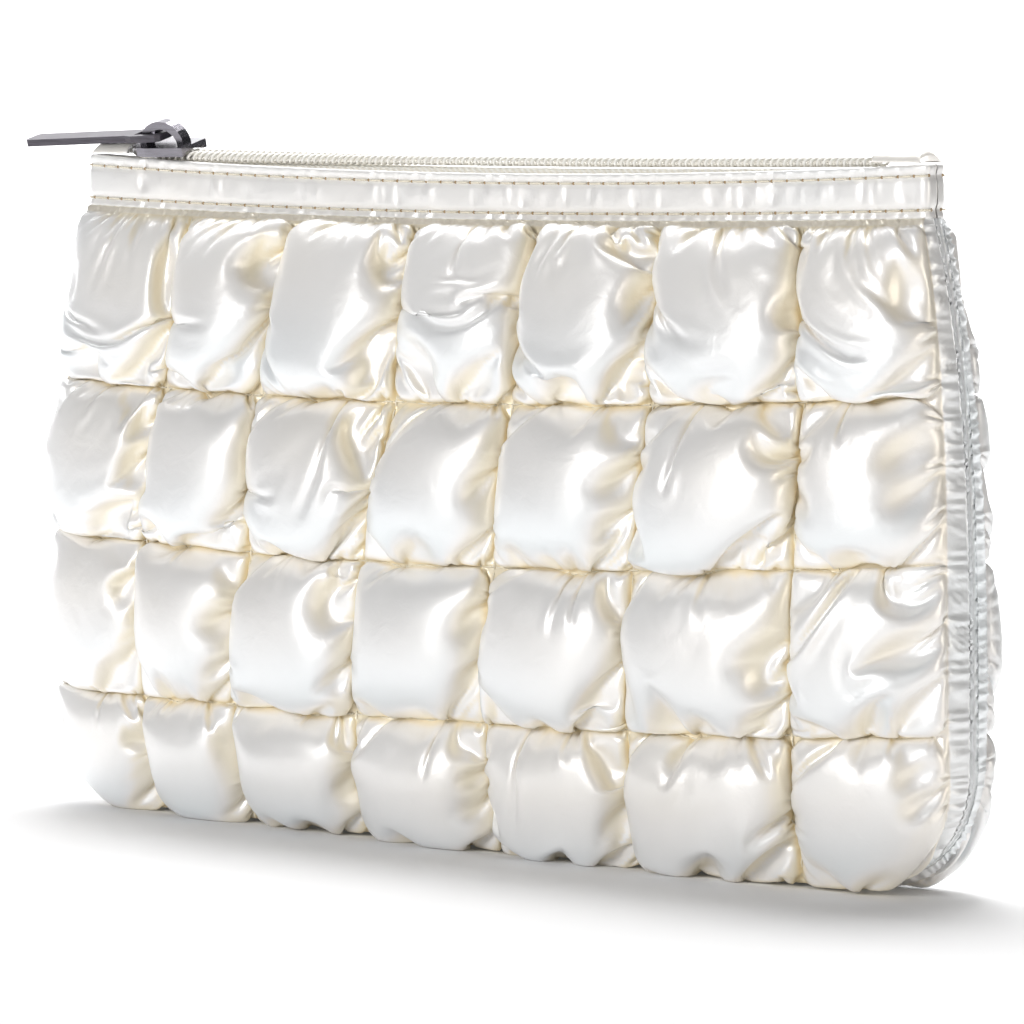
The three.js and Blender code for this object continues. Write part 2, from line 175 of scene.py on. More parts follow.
def drop_at(height):
    return np.clip(1 - height / PANEL_HEIGHT, 0, 1)


def half_width_at(height):
    return HALF_BAND + BODY_FLARE * (1 - (1 - drop_at(height)) ** 4)


def tuck_at(share, height):
    """How far the left end stays in, because it flares less than the right one."""
    return LEFT_TUCK * drop_at(height) * smoothstep(-share, TUCK_FROM, 1)


# The quilted surface: columns run from 0 to 7, rows from 0 at the neck to 4 at the foot, with a
# margin of one more round them
def height_on_row(row, share):
    if row < 0:
        return band_foot_at(share * HALF_BAND) + NECK_TUCK
    if row < ROWS:
        left, middle, right = ROW_SEAMS[row][:3]
        bend = (left + right) / 2 - middle
        return PANEL_HEIGHT * (middle + (right - left) / 2 * share + bend * share**2)
    rise = FOOT_RISE if row == ROWS else SEAM_RISE
    return floor_at(share * half_width_at(0.0)) + rise


def seam_share_table():
    table = []
    for level in range(ROWS + 1):
        margin = mix(NECK_MARGIN, SIDE_MARGIN, min(level, 1)) / HALF_BAND
        inner = [seam[level] for seam in COLUMN_SEAMS]
        table.append([-1.0, -1 + margin, *inner, 1 - margin, 1.0])
    return np.array(table)


SEAM_SHARES = seam_share_table()


def share_on_row(column, row):
    level = np.clip(row, 0, ROWS)
    first = np.clip(np.floor(column), -1, COLUMNS).astype(int)
    table = SEAM_SHARES[level]
    return mix(table[first + 1], table[first + 2], column - first)


def depth_on_row(row, share):
    if row < 0:
        return crown_over(share, BAND_MID_DEPTH, BAND_END_DEPTH) - NECK_TUCK
    depth, end_depth = ROW_SEAMS[row][3:] if row < ROWS else FOOT_DEPTH
    return QUILT_DEPTH * crown_over(share, depth, end_depth)


def round_corner(x, z):
    centre = half_width_at(0.0) - CORNER_RADIUS
    side = np.sign(x)
    dx = (np.abs(x) - centre) / CORNER_RADIUS
    dz = (CORNER_RADIUS - (z - floor_at(x) - SEAM_RISE)) / CORNER_RADIUS
    inside = (dx > 0) & (dz > 0)
    cx, cz = np.clip(dx, 0, 1), np.clip(dz, 0, 1.2)
    round_x = side * (centre + CORNER_RADIUS * cx * np.sqrt(1 - cz**2 / 2))
    rise = CORNER_RADIUS * (1 - cz * np.sqrt(1 - cx**2 / 2))
    round_z = floor_at(round_x) + SEAM_RISE + rise
    return np.where(inside, round_x, x), np.where(inside, round_z, z)


def quilt_point(column, row):
    column, row = np.broadcast_arrays(np.asarray(column, float), np.asarray(row, float))
    share, height, depth = [np.zeros(column.shape) for _ in range(3)]
    inside = np.clip(2 * column / COLUMNS - 1, -1, 1)
    lowest = np.clip(np.floor(row), -1, ROWS).astype(int)
    for low in range(-1, ROWS + 1):
        pick = lowest == low
        if not pick.any():
            continue
        c, t = column[pick], row[pick] - low
        high = low + 1
        s = mix(share_on_row(c, low), share_on_row(c, high), t)
        share[pick] = s
        height[pick] = mix(height_on_row(low, s), height_on_row(high, s), t)
        start = min(low, ROWS - 1)
        u = np.minimum(row[pick], ROWS) - start
        levels = [min(max(start + k, -1), ROWS) for k in (-1, 0, 1, 2)]
        a, b, e, d = [depth_on_row(level, inside[pick]) for level in levels]
        depth[pick] = 0.5 * (2 * b + (e - a) * u + (2 * a - 5 * b + 4 * e - d) * u**2
                             + (3 * b - a - 3 * e + d) * u**3)
    outside = np.maximum(np.maximum(-column, column - COLUMNS), 0)
    below = np.maximum(row - ROWS, 0)
    depth = mix(depth, HEM_EDGE, 1 - (1 - outside) * (1 - below))
    x, z = round_corner(share * half_width_at(height), height)
    return np.stack([x + tuck_at(share, height), -depth, z], -1)


def inner_normal(column, row, inside):
    """The quilting's normal, taken this many cells or more inside its edges."""
    column = np.clip(column, inside, COLUMNS - inside)
    row = np.clip(row, inside, ROWS - inside)
    across = quilt_point(column + NORMAL_STEP, row) - quilt_point(column - NORMAL_STEP, row)
    down = quilt_point(column, row + NORMAL_STEP) - quilt_point(column, row - NORMAL_STEP)
    return unit(np.cross(down, across))


# The padding: a sheet of satin longer than its seams, sewn down on them and blown up between them
FABRIC_SHARE = 1.28
FABRIC_CHANGE = 0.06
TAUT = 1.02
PUFF_HEIGHT = 9.6
PRESSURE = 0.06
DROOP = 0.010
END_FILL = 0.75
DAMPING = 0.90
SEAM_GAP = 0.12
DENT_CHANCE = 0.8
OUTER_LEFT = 0.6
OUTER_RIGHT = 3.4
OUTER_LEVEL = 1.6
WALL_SWAY = 1.7
SEAM_BOW = 0.06
WALL_DROP = 0.8
LEVEL_SWAY = 0.8
PILLOW_POWER = 2.3
FILL_CHANGE = 0.09
OUTER_SPARE = 0.03

# Bunches on one cell edge: their places in shares of the edge, how even and how wide they are
GATHER_ENDS = (0.07, 0.93)
GATHER_SPAN = 0.86
GATHER_SWING = 0.28
GATHER_EVENNESS = 5.0
GATHER_WIDTH = (0.018, 0.035)
BUNCHES = (3, 5)
NECK_BUNCHES = (6, 8)

# Darts: how long and how strong, first from a puff's foot and right, then from its top and left
LOW_DART = ((0.20, 0.38), (1.3, 2.2))
HIGH_DART = ((0.13, 0.26), (0.9, 1.6))
DART_WIDTH = (0.32, 0.45)

# One fineness after another: steps to a cell, rounds, passes in each, stiffness and its repeats
LEVELS = ((14, 170, 7, 0.06, 1), (28, 80, 8, 0.12, 1), (56, 20, 7, 0.2, 2))


class EdgeGather:
    """Where the cloth of one cell edge is sewn: taut, but bunched at a few places."""

    def __init__(self, rng, bunches):
        spacing = GATHER_SPAN / (bunches - 1)
        swing = rng.uniform(-GATHER_SWING, GATHER_SWING, bunches)
        self.places = np.linspace(*GATHER_ENDS, bunches) + spacing * swing
        self.shares = rng.dirichlet(np.full(bunches, GATHER_EVENNESS))
        self.width = rng.uniform(*GATHER_WIDTH, bunches)

    def sewn_at(self, cloth):
        s = np.linspace(0, 1, 801)
        spare = FABRIC_SHARE - TAUT
        density = np.full_like(s, TAUT)
        for place, share, width in zip(self.places, self.shares, self.width):
            bump = np.exp(-(((s - place) / width) ** 2))
            density += spare * share * bump / (width * math.sqrt(math.pi))
        used = np.concatenate([[0], np.cumsum((density[1:] + density[:-1]) / 2)])
        return np.interp(cloth, used / used[-1], s)


class Padding:
    """The puffed satin of one panel, at one fineness after another."""

    def __init__(self, seed):
        rng = np.random.default_rng(seed)

        def gather(low, high):
            return EdgeGather(rng, int(rng.integers(low, high + 1)))

        self.upright = [[gather(*BUNCHES) for _ in range(ROWS)] for _ in range(COLUMNS + 1)]
        self.level = [[gather(*(BUNCHES if r else NECK_BUNCHES)) for _ in range(COLUMNS)]
                      for r in range(ROWS + 1)]
        self.cloth = 1 + FABRIC_CHANGE * rng.uniform(-1, 1, (ROWS, COLUMNS))
        self.fill = 1 + FILL_CHANGE * rng.uniform(-1, 1, (ROWS, COLUMNS))
        self.fill[:, [0, -1]] *= END_FILL
        self.cloth[:, [0, -1]] -= OUTER_SPARE
        self.sway = rng.uniform(-1, 1, (2, 12, 12, 4))
        self.darts = self.cut_darts(rng)
        self.rng = rng

    def cut_darts(self, rng):
        """Wedge dents between two bunches: cell, side, place, length, swing, width and strength."""
        darts = []
        for r in range(ROWS):
            for c in range(COLUMNS):
                edges = ((self.level[r][c], 0), (self.level[r + 1][c], 1),
                         (self.upright[c][r], 2), (self.upright[c + 1][r], 3))
                for gather, side in edges:
                    outer = (c == 0 and side == 2) or (c == COLUMNS - 1 and side == 3)
                    neck = r == 0 and side == 0
                    lengths, strengths = LOW_DART if side in (1, 3) else HIGH_DART
                    for low, high in zip(gather.places, gather.places[1:]):
                        if rng.random() >= DENT_CHANCE:
                            continue
                        length = rng.uniform(*lengths) * (1.25 if outer else 0.8 if neck else 1.0)
                        swing = rng.uniform(-0.35, 0.35) + (0.4 if outer else 0.0)
                        width = (high - low) * rng.uniform(*DART_WIDTH)
                        strength = rng.uniform(*strengths)
                        darts.append((r, c, side, (low + high) / 2, length, swing, width, strength))
        return darts

    def sewn_along(self, seam, steps):
        """Where the cloth is sewn down along one whole seam, in cells."""
        cloth = np.arange(steps + 1) / steps
        parts = [k + gather.sewn_at(cloth)[:-1] for k, gather in enumerate(seam)]
        return np.concatenate([*parts, [len(seam)]])

    def prepare(self, steps):
        """Everything that stays as it is while the cloth settles at this fineness."""
        self.steps = steps
        rows, columns = ROWS * steps + 1, COLUMNS * steps + 1
        i, j = np.arange(rows), np.arange(columns)
        row, column = np.meshgrid(i / steps, j / steps, indexing="ij")
        self.row, self.column = row, column
        self.base = quilt_point(column, row)
        self.out = inner_normal(column, row, EDGE_STEP)
        on_seam = (i[:, None] % steps == 0) | (j[None, :] % steps == 0)
        self.free = np.where(on_seam, 0.0, 1.0)
        sewn_row, sewn_column = row.copy(), column.copy()
        for r in range(ROWS + 1):
            sewn_column[r * steps] = self.sewn_along(self.level[r], steps)
            sewn_row[r * steps] += self.bow(1, r, sewn_column[r * steps])
        for c in range(COLUMNS + 1):
            sewn_row[:, c * steps] = self.sewn_along(self.upright[c], steps)
            sewn_column[:, c * steps] = c + self.bow(0, c, sewn_row[:, c * steps])
        self.sewn = quilt_point(sewn_column, sewn_row)
        self.set_rest_lengths(steps)
        self.set_cells(steps)
        self.set_walls(steps)

    def per_cell(self, values, steps):
        rows = np.minimum(np.arange(ROWS * steps + 1) // steps, ROWS - 1)
        columns = np.minimum(np.arange(COLUMNS * steps + 1) // steps, COLUMNS - 1)
        return values[np.ix_(rows, columns)]

    def set_rest_lengths(self, steps):
        marks_across = self.base[:, ::steps]
        marks_down = self.base[::steps]
        width = np.linalg.norm(np.diff(marks_across, axis=1), axis=-1)
        height = np.linalg.norm(np.diff(marks_down, axis=0), axis=-1)
        cloth = FABRIC_SHARE * self.per_cell(self.cloth, steps)
        wide = np.repeat(width, steps, axis=1) / steps
        tall = np.repeat(height, steps, axis=0) / steps
        self.across = (wide * cloth[:, :-1]).astype(np.float32)
        self.down = (tall * cloth[:-1]).astype(np.float32)
        self.slant = np.sqrt(self.across[:-1] ** 2 + self.down[:, :-1] ** 2)

    def set_cells(self, steps):
        a = self.column % 1
        b = self.row % 1
        pillow = lambda s: np.sqrt(np.maximum(1 - np.abs(2 * s - 1) ** PILLOW_POWER, 0))
        top = 0.45 + 0.55 * pillow(a) * pillow(np.clip(b * 0.94, 0, 1))
        self.cap = PUFF_HEIGHT * self.per_cell(self.fill, steps) * top * (0.92 + 0.14 * b)
        self.dart = np.zeros(a.shape)
        for r, c, side, place, length, swing, width, strength in self.darts:
            rows = slice(r * steps, (r + 1) * steps + 1)
            columns = slice(c * steps, (c + 1) * steps + 1)
            u = np.linspace(0, 1, steps + 1)[None, :]
            v = np.linspace(0, 1, steps + 1)[:, None]
            along, aside = ((v, u), (1 - v, u), (u, v), (1 - u, v))[side]
            offset = aside - place - swing * along
            fade = smoothstep(1 - along / length, 0, 0.5)
            spread = width * (1.15 - 0.8 * np.clip(along / length, 0, 1))
            self.dart[rows, columns] += strength * fade * np.exp(-((offset / spread) ** 2))
        self.dart = np.minimum(self.dart, 3.0)

    def wave(self, kind, seam, along):
        """A slow sway along a seam, about one each way."""
        total = 0
        for k in range(4):
            turn = self.sway[kind, seam, 2 * k:2 * k + 2, k].sum() * math.pi
            swing = math.sin(3 * turn + k)
            total = total + swing * np.sin((1.4 + 1.5 * k) * math.pi * along + turn)
        return total / 2

    def bow(self, kind, seam, along):
        """How far a seam wanders between its crossings, in cells. The outer seams stay straight."""
        if seam in (0, (COLUMNS, ROWS)[kind]):
            return np.zeros_like(along)
        return SEAM_BOW * self.wave(kind, seam, along) * np.sin(np.pi * (along % 1)) ** 2

    def set_walls(self, steps):
        """Planes through the seams that keep each puff on its own side, leaning with height."""
        self.walls = []
        cells = np.indices(self.row.shape) // steps
        for kind, seams in ((0, COLUMNS), (1, ROWS)):
            along = self.column if kind else self.row
            across, down = (0, NORMAL_STEP) if kind else (NORMAL_STEP, 0)
            for side in (0, 1):
                number = np.clip(cells[1 - kind] + side, side, seams - 1 + side)
                c, r = (self.column, number) if kind else (number, self.row)
                tangent = quilt_point(c + across, r + down) - quilt_point(c - across, r - down)
                sway = np.zeros(along.shape)
                for n in np.unique(number):
                    pick = number == n
                    sway[pick] = WALL_SWAY * self.wave(kind, int(n), along[pick])
                if kind:
                    sway = sway * LEVEL_SWAY + WALL_DROP
                edge = (number == 0) | (number == seams)
                outward = OUTER_LEVEL if kind else (OUTER_LEFT, OUTER_RIGHT)[side]
                sway = np.where(edge, -outward if side == 0 else outward, sway)
                point = quilt_point(c, r)
                sign = 1.0 if side == 0 else -1.0
                self.walls.append((point.astype(np.float32), unit(tangent).astype(np.float32),
                                   sway.astype(np.float32), sign))

    def start(self):
        a = np.sin(np.pi * (self.column % 1))
        b = np.sin(np.pi * (self.row % 1))
        folds = self.rng.uniform(0, 2 * np.pi, (2, ROWS, COLUMNS))
        count = self.rng.uniform(2.6, 4.2, (2, ROWS, COLUMNS))
        turn, number = [[self.per_cell(v, self.steps) for v in values] for values in (folds, count)]
        ripple = (np.cos(2 * np.pi * number[0] * (self.column % 1) + turn[0]) * (1 - b) ** 2 * a
                  + np.cos(2 * np.pi * number[1] * (self.row % 1) + turn[1]) * (1 - a) ** 2 * b)
        x = self.base + self.out * (3.5 * np.sqrt(a * b) + 1.1 * ripple)[..., None]
        x = x + self.rng.normal(0, 0.15, x.shape) * self.free[..., None]
        return np.where(self.free[..., None] > 0, x, self.sewn).astype(np.float32)

    def refine(self, x):
        """The same cloth with twice as many points each way."""
        wide = np.zeros((x.shape[0], 2 * x.shape[1] - 1, 3), np.float32)
        wide[:, ::2] = x
        wide[:, 1::2] = (x[:, 1:] + x[:, :-1]) / 2
        fine = np.zeros((2 * x.shape[0] - 1, wide.shape[1], 3), np.float32)
        fine[::2] = wide
        fine[1::2] = (wide[1:] + wide[:-1]) / 2
        noise = self.rng.normal(0, 0.04, fine.shape)
        return np.where(self.free[..., None] > 0, fine + noise, self.sewn).astype(np.float32)

    def link_sets(self):
        """Pairs of neighbours with their rest lengths, in sets where no point comes twice."""
        sets = []
        for s in (0, 1):
            sets.append(((slice(None), slice(s, -1, 2)), (slice(None), slice(s + 1, None, 2)),
                         self.across[:, s::2], 1.0, 0.9))
            sets.append(((slice(s, -1, 2), slice(None)), (slice(s + 1, None, 2), slice(None)),
                         self.down[s::2], 1.0, 0.9))
        for s in (0, 1):
            upper, lower = slice(s, -1, 2), slice(s + 1, None, 2)
            slant = self.slant[s::2]
            sets.append(((upper, slice(None, -1)), (lower, slice(1, None)), slant, 0.5, 0.4))
            sets.append(((upper, slice(1, None)), (lower, slice(None, -1)), slant, 0.5, 0.4))
        links = []
        free = self.free.astype(np.float32)
        for a, b, rest, stretch, squeeze in sets:
            wa, wb = free[a], free[b]
            total = np.maximum(wa + wb, 1)
            links.append((a, b, rest, stretch, squeeze, wa / total, wb / total))
        return links

    def relax(self, x, links):
        for a, b, rest, stretch, squeeze, wa, wb in links:
            d = x[b] - x[a]
            length = np.sqrt(np.einsum("ijk,ijk->ij", d, d)) + 1e-6
            gap = (length - rest) / length
            gap *= np.where(gap > 0, stretch, squeeze)
            x[a] += d * (gap * wa)[..., None]
            x[b] -= d * (gap * wb)[..., None]

    def soften(self, x, strength, free):
        """Resists bending, without drawing the cloth in."""
        def bend(y):
            inner = np.zeros_like(y)
            inner[1:-1, 1:-1] = (y[2:, 1:-1] + y[:-2, 1:-1] + y[1:-1, 2:] + y[1:-1, :-2]) / 4
            inner[1:-1, 1:-1] -= y[1:-1, 1:-1]
            return inner
        x -= strength * bend(bend(x) * free) * free

    def keep_apart(self, x):
        for point, tangent, sway, sign in self.walls:
            away = x - point
            height = np.einsum("ijk,ijk->ij", away, self.out32)
            wall = sway * np.clip(height / 6, 0, 1) ** 1.5 + sign * SEAM_GAP
            distance = sign * (np.einsum("ijk,ijk->ij", away, tangent) - wall)
            push = np.where(distance < 0, -distance * sign, 0) * self.free32
            x += tangent * push[..., None]

    def settle(self, x, steps, passes, stiffness, rounds):
        links = self.link_sets()
        free = self.free[..., None].astype(np.float32)
        self.free32 = self.free.astype(np.float32)
        self.out32 = self.out.astype(np.float32)
        base, cap, dart = [v.astype(np.float32) for v in (self.base, self.cap, self.dart)]
        weight = np.array((0, 0, -DROOP), np.float32)
        old = x.copy()
        for _ in range(steps):
            du = np.zeros_like(x)
            dv = np.zeros_like(x)
            du[:, 1:-1] = x[:, 2:] - x[:, :-2]
            dv[1:-1] = x[2:] - x[:-2]
            normal = unit(np.cross(dv, du))
            height = np.einsum("ijk,ijk->ij", x - base, self.out32)
            full = np.clip(height / cap, 0, 1.4)
            push = PRESSURE * (1 - full**3 - dart * np.clip((height - 0.8) / 2.5, 0, 1))
            moved = x + DAMPING * (x - old) * free + (normal * push[..., None] + weight) * free
            old = x
            x = moved.astype(np.float32)
            for _ in range(passes):
                self.relax(x, links)
            for _ in range(rounds):
                self.soften(x, stiffness, free)
            self.keep_apart(x)
            height = np.einsum("ijk,ijk->ij", x - base, self.out32)
            x += self.out32 * (np.maximum(0.15 - height, 0) * self.free32)[..., None]
            x[..., 2] = np.maximum(x[..., 2], floor_at(x[..., 0]) + 0.02)
        return x

    def run(self):
        levels = LEVELS
        x = None
        for steps, count, passes, stiffness, rounds in levels:
            self.prepare(steps)
            x = self.start() if x is None else self.refine(x)
            x = self.settle(x, count, passes, stiffness, rounds)
        return x


# Meshes
def add_object(name, data):
    obj = bpy.data.objects.new(name, data)
    bpy.context.scene.collection.objects.link(obj)
    return obj


def make_piece(name, points, faces, material, body="bag", slot="satin", values=None):
    mesh = bpy.data.meshes.new(name)
    mesh.from_pydata(to_world(points).tolist(), [], [tuple(int(i) for i in f) for f in faces])
    mesh.polygons.foreach_set("use_smooth", np.ones(len(mesh.polygons), bool))
    for label, data in (values or {}).items():
        attribute = mesh.attributes.new(label, "FLOAT", "POINT")
        attribute.data.foreach_set("value", np.asarray(data, np.float32).ravel())
    mesh.materials.append(material)
    mesh.update()
    obj = add_object(name, mesh)
    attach(obj, body)
    return obj


def grid_faces(rows, columns, first=0, flip=False, close_columns=False):
    i = np.arange(rows - 1)
    j = np.arange(columns if close_columns else columns - 1)
    i, j = np.meshgrid(i, j, indexing="ij")
    a = i * columns + j
    b = i * columns + (j + 1) % columns
    c = b + columns
    d = a + columns
    quads = np.stack([a, d, c, b] if not flip else [a, b, c, d], -1).reshape(-1, 4)
    return (quads + first).tolist()


def strip_faces(stations, around, flip):
    """A run of closed sections with a cap at each end."""
    faces = grid_faces(stations, around, close_columns=True, flip=flip)
    ends = [list(range(around)), [(stations - 1) * around + k for k in reversed(range(around))]]
    return faces + (ends if flip else [end[::-1] for end in ends])


def tubes(paths, radius, up, sides=6):
    """Closed round tubes along paths, an array of (tube, point, xyz)."""
    paths = np.asarray(paths, float)
    count, length = paths.shape[:2]
    tangent = unit(np.gradient(paths, axis=1))
    side = unit(np.cross(tangent, np.broadcast_to(up, paths.shape)))
    rise = np.cross(side, tangent)
    angle = np.arange(sides) * 2 * np.pi / sides
    radius = np.broadcast_to(radius, paths.shape[:2])[..., None, None]
    ring = side[:, :, None] * np.cos(angle)[:, None] + rise[:, :, None] * np.sin(angle)[:, None]
    points = (paths[:, :, None] + ring * radius).reshape(-1, 3)
    faces = []
    for k in range(count):
        first = k * length * sides
        faces += grid_faces(length, sides, first, close_columns=True)
        faces.append([first + n for n in range(sides)])
        faces.append([first + (length - 1) * sides + n for n in reversed(range(sides))])
    return points, faces


def join(parts):
    points, faces, start = [], [], 0
    for p, f in parts:
        points.append(np.asarray(p).reshape(-1, 3))
        faces += [[i + start for i in face] for face in f]
        start += len(points[-1])
    return np.concatenate(points), faces


# Materials
def material_nodes(name):
    """A new material with its node tree and its shader."""
    material = bpy.data.materials.new(name)
    material.use_nodes = True
    tree = material.node_tree
    return material, tree, tree.nodes["Principled BSDF"]


def set_shader(shader, **values):
    """Constant values on the shader's own sockets, with _ for a space in a socket's name."""
    for name, value in values.items():
        shader.inputs[name.replace("_", " ")].default_value = value


def add_node(tree, kind, **settings):
    node = tree.nodes.new("ShaderNode" + kind)
    for key, value in settings.items():
        if key in node.inputs:
            node.inputs[key].default_value = value
        else:
            setattr(node, key, value)
    return node


def object_place(tree):
    return add_node(tree, "TexCoord").outputs["Object"]


def add_pattern(tree, kind, place, **settings):
    """The value of a texture laid out by the coordinates in place."""
    node = add_node(tree, kind, **settings)
    tree.links.new(place, node.inputs["Vector"])
    return node.outputs["Fac"]


def add_range(tree, value, low, high):
    node = add_node(tree, "MapRange")
    node.inputs["To Min"].default_value = low
    node.inputs["To Max"].default_value = high
    tree.links.new(value, node.inputs["Value"])
    return node.outputs["Result"]


def add_tint(tree, shader, share, dark, light):
    """The base colour, between two tones."""
    tint = add_node(tree, "Mix", data_type="RGBA")
    tint.inputs[6].default_value = dark
    tint.inputs[7].default_value = light
    tree.links.new(share, tint.inputs[0])
    tree.links.new(tint.outputs[2], shader.inputs["Base Color"])


def add_bump(tree, height, strength, distance, target):
    bump = add_node(tree, "Bump", Strength=strength, Distance=distance)
    tree.links.new(height, bump.inputs["Height"])
    tree.links.new(bump.outputs["Normal"], target.inputs["Normal"])
    return bump


# The satin's tones, from a cool white painted reflection in the light to a cream painted shade in
# the crevices
COOL_PAINTED_REFLECTION = (0.83, 0.895, 0.92, 1)
CREAM_PAINTED_SHADE = (0.89, 0.76, 0.50, 1)
SATIN_TONES = (
    (0.18, (0.905, 0.92, 0.93, 1)),
    (0.32, (0.955, 0.94, 0.925, 1)),
    (0.50, (0.955, 0.905, 0.82, 1)),
    (0.75, (0.95, 0.88, 0.72, 1)),
)
TONE_DRIFT = 0.12
PUFF_TONE = 0.32
# A cream painted shade on the neck margin, which lies in the band's shade
NECK_PAINTED_SHADE = 0.6
# A cool painted reflection on the side margins
MARGIN_COOL_REFLECTION = 0.2
HEM_TONE = 0.15
BAND_TONE = 0.3
TAB_TONE = 0.42


def satin_material():
    material, tree, shader = material_nodes("pearl_satin")
    link = tree.links.new
    set_shader(shader, Metallic=0.23, Roughness=0.37, Coat_Weight=0.4, Coat_IOR=1.55,
               Coat_Roughness=0.26, Sheen_Weight=0.1, Sheen_Roughness=0.4)
    place = object_place(tree)
    # This attribute holds each part's own tone and painted light: a cream painted shade in crevices
    # and a cool painted reflection low on the puffs
    tone_and_painted_light = add_node(tree, "Attribute", attribute_name="tone_and_painted_light")
    cloudy = add_pattern(tree, "TexNoise", place, Scale=24.0, Detail=1.0)
    drift = add_range(tree, cloudy, -TONE_DRIFT, TONE_DRIFT)
    total = add_node(tree, "Math", operation="ADD", use_clamp=True)
    link(tone_and_painted_light.outputs["Fac"], total.inputs[0])
    link(drift, total.inputs[1])
    tint = add_node(tree, "ValToRGB")
    stops = tint.color_ramp.elements
    stops[0].position, stops[0].color = 0.0, COOL_PAINTED_REFLECTION
    stops[1].position, stops[1].color = 1.0, CREAM_PAINTED_SHADE
    for position, colour in SATIN_TONES:
        stops.new(position).color = colour
    link(total.outputs["Value"], tint.inputs["Fac"])
    link(tint.outputs["Color"], shader.inputs["Base Color"])
    weave = add_pattern(tree, "TexNoise", place, Scale=2600.0, Detail=2.0)
    rumple = add_pattern(tree, "TexNoise", place, Scale=260.0, Detail=3.0, Distortion=0.6)
    broad = add_bump(tree, rumple, 0.25, 0.0005, shader)
    add_bump(tree, weave, 0.08, 0.00006, broad)
    return material


def figured_material(name, values, kind, figure, tones=None, bump=None):
    """A material whose tones and bump follow one texture."""
    material, tree, shader = material_nodes(name)
    set_shader(shader, **values)
    share = add_pattern(tree, kind, object_place(tree), **figure)
    if tones:
        add_tint(tree, shader, share, *tones)
    if bump:
        add_bump(tree, share, *bump, shader)
    return material


# Dark brown for the needle holes: painted shade in the holes
def hole_shade_material():
    material, _, shader = material_nodes("painted_hole_shade")
    set_shader(shader, Base_Color=(0.42, 0.30, 0.17, 1), Roughness=0.8)
    return material


def metal_material(name, dark, light, low, high):
    """Brushed plating, between a dark and a light tone and a low and a high roughness."""
    material, tree, shader = material_nodes(name)
    set_shader(shader, Metallic=1.0)
    stretch = add_node(tree, "Mapping", Scale=(150, 3000, 3000))
    tree.links.new(object_place(tree), stretch.inputs["Vector"])
    brushed = add_pattern(tree, "TexNoise", stretch.outputs["Vector"], Scale=1.0, Detail=3.0)
    add_tint(tree, shader, brushed, dark, light)
    tree.links.new(add_range(tree, brushed, low, high), shader.inputs["Roughness"])
    add_bump(tree, brushed, 0.15, 0.00005, shader)
    return material


SATIN = satin_material()
THREAD = figured_material(
    "thread", {"Base_Color": (0.88, 0.82, 0.68, 1), "Roughness": 0.5, "Sheen_Weight": 0.3},
    "TexWave", {"Scale": 900.0, "Distortion": 0.5, "bands_direction": "DIAGONAL"},
    bump=(0.5, 0.0001))
HOLE_SHADE = hole_shade_material()
TWILL = figured_material(
    "twill", {"Roughness": 0.75, "Sheen_Weight": 0.3},
    "TexWave", {"Scale": 420.0, "Distortion": 0.6, "Detail": 1.0, "bands_direction": "DIAGONAL"},
    tones=((0.88, 0.84, 0.74, 1), (0.96, 0.94, 0.88, 1)), bump=(0.5, 0.0002))
NYLON = figured_material(
    "nylon_coil", {"Roughness": 0.35}, "TexNoise", {"Scale": 300.0, "Detail": 2.0},
    tones=((0.93, 0.90, 0.83, 1), (0.97, 0.96, 0.93, 1)))
METAL = metal_material("gunmetal", (0.16, 0.15, 0.17, 1), (0.34, 0.33, 0.36, 1), 0.14, 0.30)
BRUSHED = metal_material("gunmetal_brushed", (0.06, 0.055, 0.065, 1), (0.17, 0.16, 0.18, 1),
                         0.30, 0.50)


# Panels: the puffed satin, its margins all round and the hem behind them
MARGIN_STEPS = 10
CELL_WIDTH = 29
CELL_HEIGHT = 31
PUCKER = 1.1
# Scales the back panel's tone together with its painted light, towards the cool end
BACK_TONE_AND_PAINTED_LIGHT_SCALE = 0.55


def pucker_wave(seed, along):
    """Small uneven pleats along a margin, from 0 to 1, with about one to each 2 mm."""
    rng = np.random.default_rng(seed)
    phase = along / 2.1 * 2 * np.pi
    for _ in range(5):
        swing, length, start = rng.uniform(0.4, 1.3), rng.uniform(3, 14), rng.uniform(0, 6)
        phase = phase + swing * np.sin(along / length * 2 * np.pi + start)
    slow = np.sin(along / 9.0 + rng.uniform(0, 6))
    quick = np.sin(along / 3.7 + rng.uniform(0, 6))
    return (0.65 + 0.35 * slow * quick) * (0.5 + 0.5 * np.sin(phase)) ** 1.4


